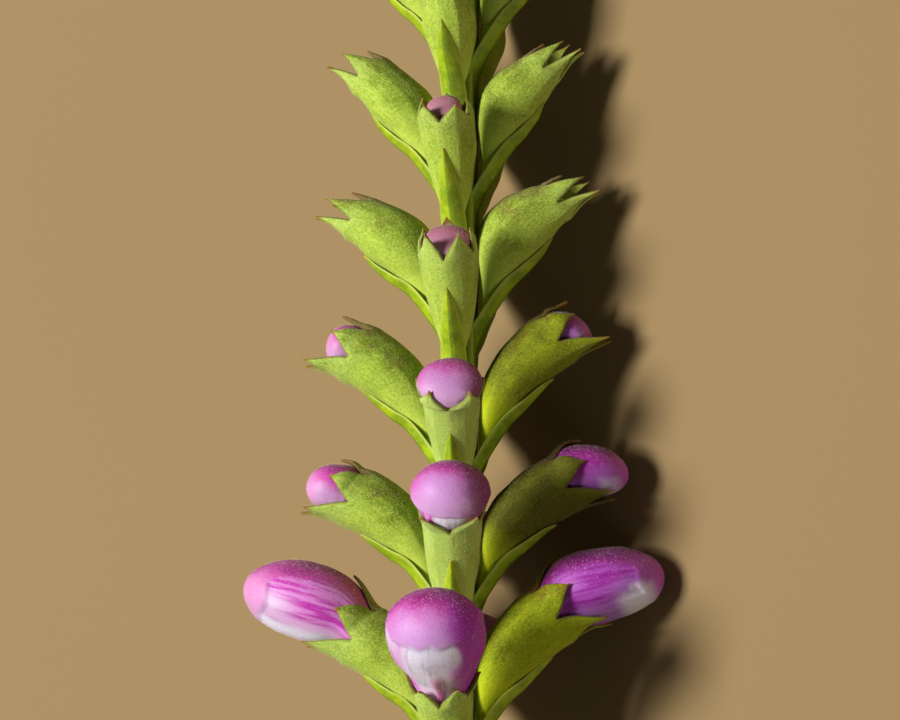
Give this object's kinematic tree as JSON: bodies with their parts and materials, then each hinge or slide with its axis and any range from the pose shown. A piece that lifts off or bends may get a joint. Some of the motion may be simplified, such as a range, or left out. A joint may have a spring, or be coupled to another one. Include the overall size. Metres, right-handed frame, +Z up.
{
  "type": "obedient plant stem",
  "caption": "Cut flower spike lying on its side: square stem, toothed green calyces in crossed pairs over pointed bracts, pink corolla buds low on the spike and a young green tip.",
  "frame": {"origin": "centre of the part's box in X and Y, on the surface that it rests on", "axes": "+Y along the stem towards its young tip, +Z up from the surface, +X across the stem"},
  "size_m": [0.017, 0.0874, 0.0155],
  "materials": {
    "stem_green": "satin, fresh yellow-green",
    "calyx_green": "matte, finely hairy grey-green",
    "corolla_pink": "satin, velvety magenta pink"
  },
  "bodies": {
    "root": {"calyx_01_back": "calyx_green", "calyx_01_front": "calyx_green", "calyx_02_left": "calyx_green", "calyx_02_right": "calyx_green", "calyx_03_back": "calyx_green", "calyx_03_front": "calyx_green", "calyx_04_left": "calyx_green", "calyx_04_right": "calyx_green", "calyx_05_back": "calyx_green", "calyx_05_front": "calyx_green", "calyx_06_left": "calyx_green", "calyx_06_right": "calyx_green", "calyx_07_back": "calyx_green", "calyx_07_front": "calyx_green", "calyx_08_left": "calyx_green", "calyx_08_right": "calyx_green", "calyx_09_back": "calyx_green", "calyx_09_front": "calyx_green", "calyx_10_left": "calyx_green", "calyx_10_right": "calyx_green", "calyx_11_back": "calyx_green", "calyx_11_front": "calyx_green", "calyx_12_left": "calyx_green", "calyx_12_right": "calyx_green", "corolla_01_back": "corolla_pink", "corolla_01_front": "corolla_pink", "corolla_02_left": "corolla_pink", "corolla_02_right": "corolla_pink", "corolla_03_back": "corolla_pink", "corolla_03_front": "corolla_pink", "corolla_04_left": "corolla_pink", "corolla_04_right": "corolla_pink", "corolla_05_back": "corolla_pink", "corolla_05_front": "corolla_pink", "corolla_06_left": "corolla_pink", "corolla_06_right": "corolla_pink", "corolla_07_back": "corolla_pink", "corolla_07_front": "corolla_pink", "corolla_09_back": "corolla_pink", "corolla_09_front": "corolla_pink", "stem": "stem_green"}
  },
  "joints": []
}
